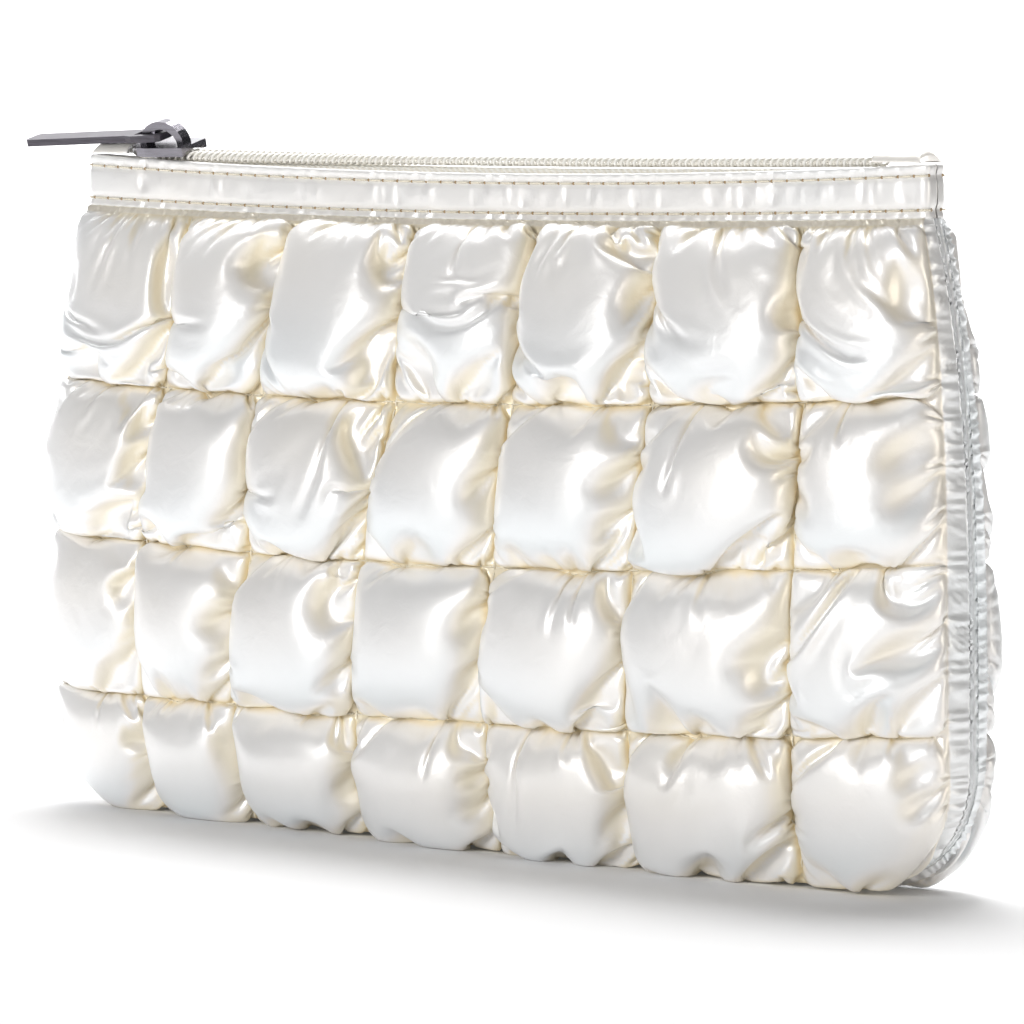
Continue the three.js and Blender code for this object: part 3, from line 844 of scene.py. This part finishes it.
def panel_grid(padding, cloth, seed):
    steps = padding.steps
    m = MARGIN_STEPS
    ends = np.arange(1, m + 1) / m
    rows, columns = cloth.shape[:2]
    total = np.zeros((rows + 2 * m, columns + 2 * m, 3))
    total[m:m + rows, m:m + columns] = cloth
    height = np.einsum("ijk,ijk->ij", cloth - padding.base, padding.out)
    lift = np.zeros(total.shape[:2])
    lift[m:m + rows, m:m + columns] = height
    uniform_row = np.concatenate([-ends[::-1], np.arange(rows) / steps, ROWS + ends])
    uniform_column = np.concatenate([-ends[::-1], np.arange(columns) / steps, COLUMNS + ends])

    def place(i, j, row, column, along, away, number):
        wave = pucker_wave(seed + number, along)
        bump = PUCKER * wave * np.sin(np.pi * np.clip(away * 0.9 + 0.05, 0, 1))
        point = quilt_point(column, row)
        total[i, j] = point + inner_normal(column, row, MARGIN_STEP) * bump[..., None]
        # A stand-in height for the margins, which sets how much painted light their satin tone
        # takes
        lift[i, j] = 2.2 + wave

    all_rows = slice(m, m + rows)
    all_columns = slice(m, m + columns)
    side_lines = range(m), range(m + columns, 2 * m + columns)
    end_lines = range(m), range(m + rows, 2 * m + rows)
    for side, column, lines in zip((0, 1), (0, COLUMNS), side_lines):
        sewn = padding.sewn_along(padding.upright[column], steps)
        for line in lines:
            away = abs(uniform_column[line] - column)
            row = mix(sewn, uniform_row[all_rows], away)
            place(all_rows, line, row, uniform_column[line], row * CELL_HEIGHT, away, side)
    for side, row, lines in zip((2, 3), (0, ROWS), end_lines):
        sewn = padding.sewn_along(padding.level[row], steps)
        for line in lines:
            away = abs(uniform_row[line] - row)
            column = mix(sewn, uniform_column[all_columns], away)
            place(line, all_columns, uniform_row[line], column, column * CELL_WIDTH, away, side)
    for i in [*end_lines[0], *end_lines[1]]:
        for j in [*side_lines[0], *side_lines[1]]:
            total[i, j] = quilt_point(uniform_column[j], uniform_row[i])
            lift[i, j] = 1.2
    total[..., 2] = np.maximum(total[..., 2], floor_at(total[..., 0]) + 0.02)
    return total, satin_tone_and_painted_light(total, lift, uniform_row, uniform_column, m)


def satin_tone_and_painted_light(total, lift, row, column, m):
    """The satin's tone: a base tone with painted light on it, a cream painted shade in the
    crevices, painted warm light on flanks that lean away, a cool painted reflection low on a puff,
    a cream painted shade on the neck margin and a cool painted reflection on the side margins.
    """
    du = np.gradient(total, axis=1)
    dv = np.gradient(total, axis=0)
    normal = unit(np.cross(dv, du))
    # Painted warm light on flanks that face right or down
    lean = np.clip(0.9 * normal[..., 0], 0, 1) + np.clip(-0.6 * normal[..., 2], 0, 1)
    painted_flank_warmth = smoothstep(lean, 0.22, 0.70) * smoothstep(8.0 - lift, 0, 4.0)
    # A cream painted shade in the crevices, where the cloth lies low over its seams
    painted_crevice_cream = 1 - smoothstep(lift, 0.1, 2.4)
    # A cool painted reflection low on each puff
    low = smoothstep(row % 1, 0.35, 0.8)[:, None] * smoothstep(lift, 1.5, 5)
    upper = np.clip(1 - row / 2, 0, 1)[:, None]
    inner = smoothstep(np.minimum(column, COLUMNS - column), 0.0, 0.5)[None, :]
    # The painted cream is stronger on the upper rows and weaker at the outer columns, which are
    # also painted cooler
    painted_cream = (0.42 + 0.10 * upper) * painted_flank_warmth + 0.5 * painted_crevice_cream
    tone_and_painted_light = PUFF_TONE - 0.17 * low + painted_cream * (0.35 + 0.65 * inner) - 0.08 * (1 - inner)
    # A cream painted shade on the neck margin under the band
    tone_and_painted_light[:m] = NECK_PAINTED_SHADE
    # A cool painted reflection on the side margins
    tone_and_painted_light[:, [*range(m), *range(-m, 0)]] = MARGIN_COOL_REFLECTION
    return np.clip(tone_and_painted_light, 0, 1)


def rim_ring(rows, columns):
    """The points round the edge of a grid, in order."""
    index = np.arange(rows * columns).reshape(rows, columns)
    return np.concatenate([index[0, :-1], index[:-1, -1], index[-1, :0:-1], index[:0:-1, 0]])


def build_panel(name, side, seed, padding):
    cloth = padding.run()
    total, tone_and_painted_light = panel_grid(padding, cloth, seed)
    # The back panel's tone and painted light, scaled towards the cool end
    if side > 0:
        tone_and_painted_light = BACK_TONE_AND_PAINTED_LIGHT_SCALE * tone_and_painted_light
    rows, columns = total.shape[:2]
    faces = grid_faces(rows, columns, flip=side > 0)
    ring = rim_ring(rows, columns)
    hem = total.reshape(-1, 3)[ring].copy()
    hem[:, 1] = -CLEARANCE / 2
    centre = np.array((0, 0, PANEL_HEIGHT / 2))
    inner = hem + unit(centre - hem) * HEM_WIDTH
    inner[:, 1] = -CLEARANCE / 2
    first, size = rows * columns, len(ring)
    order = np.arange(size)
    after = (order + 1) % size
    quads = np.stack([ring[order], ring[after], first + after, first + order], -1)
    quads = np.concatenate([quads, np.stack([first + order, first + after,
                                             first + size + after, first + size + order], -1)])
    quads = quads if side > 0 else quads[:, ::-1]
    faces += quads.tolist()
    points = np.concatenate([total.reshape(-1, 3), hem, inner])
    points[:, 1] *= -side
    tone_and_painted_light = np.concatenate([tone_and_painted_light.ravel(), np.full(2 * size, HEM_TONE)])
    return make_piece(name, points, faces, SATIN, values={"tone_and_painted_light": tone_and_painted_light})


SEAM_PITCH = 2.8
SEAM_STITCH = 2.1
SEAM_THREAD = 0.17


def build_seams(name, side, padding):
    """The thread along every quilted seam, one stitch after another."""
    lines = []
    for row in range(1, ROWS):
        along = np.linspace(0, COLUMNS, 701)
        lines.append((along, row + padding.bow(1, row, along)))
    for column in range(1, COLUMNS):
        along = np.linspace(0, ROWS, 401)
        lines.append((column + padding.bow(0, column, along), along))
    stitches, ups = [], []
    for column, row in lines:
        path = quilt_point(column, row)
        out = inner_normal(column, row, EDGE_STEP)
        run = np.concatenate([[0], np.cumsum(np.linalg.norm(np.diff(path, axis=0), axis=1))])
        starts = np.arange(0.5, run[-1] - SEAM_PITCH, SEAM_PITCH)
        t = np.linspace(0, 1, 5)
        s = starts[:, None] + t * SEAM_STITCH
        at = lambda values: np.stack([np.interp(s, run, values[:, k]) for k in range(3)], -1)
        point, up = at(path), at(out)
        rise = 0.12 + 0.34 * np.sin(np.pi * t)
        stitches.append(point + up * rise[:, None])
        ups.append(up)
    points, faces = tubes(np.concatenate(stitches), SEAM_THREAD, np.concatenate(ups), sides=5)
    points[:, 1] *= -side
    if side > 0:
        faces = [face[::-1] for face in faces]
    return make_piece(name, points, faces, THREAD, slot="tape")


for panel, side, seed in (("front", -1, 11), ("back", 1, 29)):
    padding = Padding(seed)
    build_seams(f"seam_stitches_{panel}", side, padding)
    piece = build_panel(f"quilted_{panel}", side, seed, padding)
    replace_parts(piece, f"{panel}_panel")


# The top band: two walls that close round at both ends, with two rows of stitching
BAND_CORNER = 1.4
STITCH_PITCH = 3.5
STITCH_LENGTH = 2.7
STITCH_RADIUS = 0.2
STITCH_DROPS = (2.1, 8.5)
# Depths and radii of the dark rods that paint the shade in the needle holes
HOLE_DEPTHS = (-0.6, -0.29, -0.27)
HOLE_RADII = (0.3, 0.3, 0.22)
BAND_FOLD = 0.55


def band_plan(side, spacing=0.45):
    """The band's outer line seen from above: round one end, along the bag, round the other."""
    run = np.linspace(-HALF_BAND + BAND_CORNER, HALF_BAND - BAND_CORNER,
                      int(2 * HALF_BAND / spacing))
    middle = np.stack([run, -band_depth_at(run)], -1)
    end = BAND_END_DEPTH - BAND_CORNER
    turn = np.linspace(0, np.pi / 2, 8)
    corner = np.stack([np.sin(turn), -np.cos(turn)], -1) * BAND_CORNER
    right = corner + (HALF_BAND - BAND_CORNER, -end)
    tail = [[HALF_BAND, y] for y in np.linspace(-end, -CLEARANCE / 2, 6)[1:]]
    right = np.concatenate([right[1:], tail])
    left = right[::-1] * (-1, 1)
    return np.concatenate([left, middle, right]) * (1, -side)


def band_lines(side):
    line = band_plan(side)
    step = np.linalg.norm(np.diff(line, axis=0), axis=1)
    run = np.concatenate([[0], np.cumsum(step)])
    tangent = unit(np.gradient(line, axis=0))
    outward = np.stack([tangent[:, 1], -tangent[:, 0]], -1) * (-side)
    return line, run, outward


def band_ripple(run, seed):
    rng = np.random.default_rng(seed)
    total = np.zeros_like(run)
    for _ in range(64):
        centre = rng.uniform(run[0], run[-1])
        width = rng.uniform(0.5, 1.5)
        total += rng.uniform(-1.1, 0.7) * np.exp(-(((run - centre) / width) ** 2))
    for k in range(5):
        total += 0.06 * np.sin(run / rng.uniform(1.2, 6) + rng.uniform(0, 6))
    return total


def build_band(name, side, seed):
    line, run, outward = band_lines(side)
    top, foot = band_top_at(line[:, 0]), band_foot_at(line[:, 0])
    upper, lower = STITCH_DROPS
    ripple_low, ripple_high = band_ripple(run, seed), band_ripple(run, seed + 1)
    tuck = np.cos(2 * np.pi * (run - run[0]) / STITCH_PITCH)
    profile = []
    fold, height = BAND_FOLD, BAND_HEIGHT
    for angle in np.linspace(0, np.pi / 2, 5):
        profile.append((fold * (np.sin(angle) - 1), height - fold * (1 - np.cos(angle))))
    profile += [(0.0, drop) for drop in np.linspace(height - fold, fold, 26)[1:-1]]
    for angle in np.linspace(0, np.pi / 2, 5):
        profile.append((fold * (np.cos(angle) - 1), fold * (1 - np.sin(angle))))
    profile += [(-BAND_WALL, drop) for drop in np.linspace(0, height, 6)]
    rings = []
    for out, drop in profile:
        share = drop / height
        z = mix(top, foot, share)
        press = sum(np.exp(-(((drop - row) / 0.75) ** 2)) for row in (upper, lower))
        swell = math.sin(math.pi * min(max((drop - upper) / (lower - upper), 0), 1)) ** 2
        outer = out > -fold * 1.01
        wave = mix(ripple_high, ripple_low, share) * (0.25 + 0.75 * swell)
        edge = 1 - smoothstep(min(abs(drop - 0.9), abs(drop - 9.4)), 0, 1.4)
        wave = wave + 0.16 * edge * tuck * (1 + 3 * ripple_high)
        offset = out + (0.65 * wave - 0.32 * press + 0.15 * swell - 0.1 if outer else 0)
        if outer:
            offset = np.minimum(offset, 0.4)[:, None]
        plan = line + outward * offset
        plan[:, 1] = np.maximum(plan[:, 1] * side, CLEARANCE / 2) * side
        rings.append(np.stack([plan[:, 0], plan[:, 1], z], -1))
    grid = np.stack(rings, 1)
    faces = strip_faces(*grid.shape[:2], side < 0)
    return make_piece(name, grid.reshape(-1, 3), faces, SATIN,
                      values={"tone_and_painted_light": np.full(grid.shape[:2], BAND_TONE)})


def build_topstitch(half, side):
    """Both rows of stitches on one half of the band, and small dark rods between them that paint
    the shade in the needle holes.
    """
    line, run, outward = band_lines(side)
    at = lambda s: [np.interp(s, run, values) for values in (*line.T, *outward.T)]
    sewn, hole_shades = [], []
    for number, drop in enumerate(STITCH_DROPS):
        share = drop / BAND_HEIGHT
        starts = np.arange(run[0] + 0.4 + 0.9 * number, run[-1] - STITCH_PITCH, STITCH_PITCH)
        t = np.linspace(0, 1, 7)
        x, y, nx, ny = at(starts[:, None] + t * STITCH_LENGTH)
        z = mix(band_top_at(x), band_foot_at(x), share)
        rise = -0.26 + 0.34 * np.sin(np.pi * t) ** 0.5
        path = np.stack([x + nx * rise, y + ny * rise, z], -1)
        sewn.append(tubes(path, STITCH_RADIUS, np.stack([nx, ny, np.zeros_like(nx)], -1)))
        for centre in starts + STITCH_LENGTH + (STITCH_PITCH - STITCH_LENGTH) / 2:
            hx, hy, ox, oy = at(centre)
            hz = mix(band_top_at(hx), band_foot_at(hx), share)
            hole_shades.append([[hx + ox * k, hy + oy * k, hz] for k in HOLE_DEPTHS])
    make_piece(f"topstitch_{half}", *join(sewn), THREAD, slot="tape")
    # The dark rods: painted shade in the needle holes
    points, faces = tubes(hole_shades, HOLE_RADII, np.array((0, 0, 1.0)), sides=8)
    make_piece(f"painted_hole_shades_{half}", points, faces, HOLE_SHADE, slot="tape")


for half, side, seed in (("front", -1, 3), ("back", 1, 7)):
    piece = build_band(f"band_{half}", side, seed)
    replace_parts(piece, f"{half}_band")
    build_topstitch(half, side)


# The zip: tapes, two interlocked coils and the folded tabs at its ends
COIL_PITCH = 1.5
COIL_WIRE = 0.33
COIL_HEAD = 0.4
COIL_SIDES = 18


def build_tape(name, side):
    stations = np.linspace(-TAPE_HALF, TAPE_HALF, 240)
    rings = []
    for x in stations:
        outer = band_depth_at(x) - BAND_WALL - CLEARANCE
        foot = band_foot_at(x) + TAPE_HEM
        roll = roll_at(x)
        under = chain_at(x) - (CHAIN_THICKNESS / 2 + CLEARANCE) / np.cos(roll)
        top = lambda y: under + side * y * np.tan(roll)
        inner = outer - TAPE_THICKNESS
        split = TAPE_SPLIT / 2
        section = [(outer, foot), (outer, top(outer) - 0.25), (outer - 0.2, top(outer - 0.2)),
                   (split, top(split)), (split, top(split) - TAPE_THICKNESS),
                   (inner, top(inner) - TAPE_THICKNESS), (inner, foot)]
        rings.append([(x, side * y, z) for y, z in section])
    grid = np.array(rings, float)
    faces = strip_faces(*grid.shape[:2], side < 0)
    return make_piece(name, grid.reshape(-1, 3), faces, TWILL, slot="tape")


def build_coil():
    low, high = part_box("zipper_coil")
    along = lambda x: (x / MM - SHIFT_X + BAND_TOP * math.sin(LEAN)) / math.cos(LEAN)
    start, end = along(low.x) + 0.4, along(high.x) - 0.6
    turns = int((end - start) / COIL_PITCH)
    phase = np.arange(turns * COIL_SIDES + 1) / COIL_SIDES
    parts = []
    half_height = CHAIN_THICKNESS / 2 - COIL_WIRE
    reach = CHAIN_WIDTH / 2 - COIL_WIRE
    for side in (-1, 1):
        angle = 2 * np.pi * phase
        y = side * mix(-COIL_HEAD, reach, (1 + np.cos(angle)) / 2)
        z = half_height * np.sin(angle) * (1 - 0.25 * np.cos(angle) ** 8)
        x = start + (phase + 0.25 * side) * COIL_PITCH + 0.4
        roll = roll_at(x)
        line = np.stack([x, y * np.cos(roll) - z * np.sin(roll),
                         chain_at(x) + y * np.sin(roll) + z * np.cos(roll)], -1)
        parts.append(tubes(line[None], COIL_WIRE, np.array((1.0, 0, 0)), sides=7))
    return make_piece("coil", *join(parts), NYLON, slot="coil")


for half, side in (("front", -1), ("back", 1)):
    piece = build_tape(f"tape_{half}", side)
    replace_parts(piece, f"zipper_tape_{half}")
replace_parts(build_coil(), "zipper_coil")

# The tabs over the zip's ends
TAB_HALF = 3.7
TAB_HEIGHT = 2.2
TAB_WALL = 0.7
TAB_OUTER = TAPE_HALF + 1.6
RIGHT_TAB_LENGTH = 11
SLIDER_CENTRE = 17.7 - HALF_BAND
SLIDER_HALF = 7.0


def build_tab(name, inner_end, outer_end, node):
    """Half a tube of folded satin with its outer end turned down."""
    base = float(band_top_at(TAB_OUTER)) + CLEARANCE
    inner_half, inner_height = TAB_HALF - TAB_WALL, TAB_HEIGHT - TAB_WALL
    rings = []
    angles = np.linspace(0, np.pi, 19)
    for t in np.linspace(0, 1, 26):
        x = mix(inner_end, outer_end, t)
        close = math.sqrt(max(1 - max((t - 0.86) / 0.14, 0) ** 2, 0.02))
        crease = 0.12 * math.sin(9 * t) + 0.06 * math.sin(23 * t + 1)
        ring = []
        for a in angles:
            swell = TAB_HEIGHT * close + crease * 0.6 * math.sin(a)
            ring.append((x, TAB_HALF * math.cos(a), base + swell * math.sin(a)))
        for a in angles[::-1]:
            swell = max(inner_height * close * math.sin(a), 0)
            ring.append((x, inner_half * math.cos(a), base + swell))
        rings.append(ring)
    grid = np.array(rings, float)
    faces = strip_faces(*grid.shape[:2], outer_end >= inner_end)
    piece = make_piece(name, grid.reshape(-1, 3), faces, SATIN,
                       values={"tone_and_painted_light": np.full(grid.shape[:2], TAB_TONE)})
    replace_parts(piece, node)


build_tab("tab_left", SLIDER_CENTRE - SLIDER_HALF - CLEARANCE, -TAB_OUTER, "zipper_tab_left")
build_tab("tab_right", TAB_OUTER - RIGHT_TAB_LENGTH, TAB_OUTER, "zipper_tab_right")

# Slider and pull keep their frame shape, with softened edges
for node, width, metal in (("slider_body", 0.28, METAL), ("pull_tab", 0.2, BRUSHED)):
    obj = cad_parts[node]
    obj.data.materials.clear()
    obj.data.materials.append(metal)
    bevel = obj.modifiers.new("soft_edges", "BEVEL")
    bevel.width = width * MM
    bevel.segments = 3
    bevel.limit_method = "ANGLE"
    bevel.angle_limit = math.radians(30)
    bevel.harden_normals = True


# Stage: a pale floor that curves up behind, soft boxes and the camera
CAMERA_AZIMUTH = 36.0
CAMERA_ELEVATION = 3.36
CAMERA_DISTANCE = 1621.0
CAMERA_FOCAL_PX = 8391.0
CAMERA_TARGET = (0.0, 0.0, 70.5)
CAMERA_RIGHT = 1.8
CAMERA_UP = -5.7
SENSOR = 36.0
IMAGE_PX = 1024

FLOOR_FRONT = -4.0
FLOOR_DEPTH = 2.4
FLOOR_RISE = 2.4
FLOOR_CURVE = 0.7
FLOOR_HALF_WIDTH = 4.0


def build_stage():
    profile = [(FLOOR_FRONT, 0.0)]
    for angle in np.linspace(0, math.pi / 2, 16):
        profile.append((FLOOR_DEPTH - FLOOR_CURVE + FLOOR_CURVE * math.sin(angle),
                        FLOOR_CURVE * (1 - math.cos(angle))))
    profile.append((FLOOR_DEPTH, FLOOR_RISE))
    azimuth = math.radians(CAMERA_AZIMUTH)
    forward = np.array((-math.sin(azimuth), math.cos(azimuth)))
    right = np.array((math.cos(azimuth), math.sin(azimuth)))
    points = []
    for run, z in profile:
        for k in (-FLOOR_HALF_WIDTH, FLOOR_HALF_WIDTH):
            xy = forward * run + right * k
            points.append((xy[0], xy[1], z))
    faces = [[2 * k, 2 * k + 1, 2 * k + 3, 2 * k + 2] for k in range(len(profile) - 1)]
    mesh = bpy.data.meshes.new("floor")
    mesh.from_pydata(points, [], faces)
    mesh.polygons.foreach_set("use_smooth", [True] * len(faces))
    material, _, shader = material_nodes("floor_white")
    set_shader(shader, Base_Color=(0.88, 0.88, 0.885, 1), Roughness=0.9, Specular_IOR_Level=0.1,
               Emission_Color=(0.93, 0.97, 1.0, 1), Emission_Strength=0.02)
    mesh.materials.append(material)
    add_object("floor", mesh)


def soft_box(name, azimuth, elevation, distance, size, power, colour=(1, 1, 1), aim=(0, 0, 0.07)):
    """A rectangular area light, seen from its aim at this azimuth and elevation."""
    a, e = math.radians(azimuth), math.radians(elevation)
    back = Vector((math.sin(a) * math.cos(e), -math.cos(a) * math.cos(e), math.sin(e)))
    light = bpy.data.lights.new(name, "AREA")
    light.shape = "RECTANGLE"
    light.size, light.size_y = size
    light.energy = power
    light.color = colour
    obj = add_object(name, light)
    obj.location = Vector(aim) + back * distance
    obj.rotation_euler = back.to_track_quat("Z", "Y").to_euler()


def build_lights():
    soft_box("key", 0, 16, 1.3, (0.45, 0.4), 7.9, (1.0, 0.995, 0.985))
    soft_box("side", 82, 10, 1.3, (0.5, 0.5), 3.0, (1.0, 0.94, 0.85))
    soft_box("behind", 213, 68, 1.3, (0.55, 0.55), 13.5)
    soft_box("backdrop", 36, 50, 0.5, (2.2, 0.8), 66.0, aim=(-0.75, 1.03, 1.0))
    world = bpy.data.worlds.new("studio")
    world.use_nodes = True
    set_shader(world.node_tree.nodes["Background"], Color=(0.93, 0.96, 1.0, 1), Strength=0.065)
    bpy.context.scene.world = world
    view = bpy.context.scene.view_settings
    view.view_transform = "Standard"
    view.look = "None"
    view.exposure = 0.0


def build_camera():
    a, e = math.radians(CAMERA_AZIMUTH), math.radians(CAMERA_ELEVATION)
    right = np.array((math.cos(a), math.sin(a), 0.0))
    back = np.array((math.sin(a) * math.cos(e), -math.cos(a) * math.cos(e), math.sin(e)))
    up = np.cross(back, right)
    place = np.array(CAMERA_TARGET) + back * CAMERA_DISTANCE + right * CAMERA_RIGHT + up * CAMERA_UP
    camera = bpy.data.cameras.new("camera")
    camera.sensor_width = SENSOR
    camera.lens = SENSOR * CAMERA_FOCAL_PX / IMAGE_PX
    camera.clip_end = 20
    obj = add_object("camera", camera)
    matrix = obj.matrix_world.to_3x3()
    for k, axis in enumerate((right, up, back)):
        matrix.col[k] = direction_to_world(axis)
    obj.matrix_world = matrix.to_4x4()
    obj.location = Vector(to_world(place))
    bpy.context.scene.camera = obj


build_stage()
build_lights()
build_camera()

bpy.context.view_layer.update()
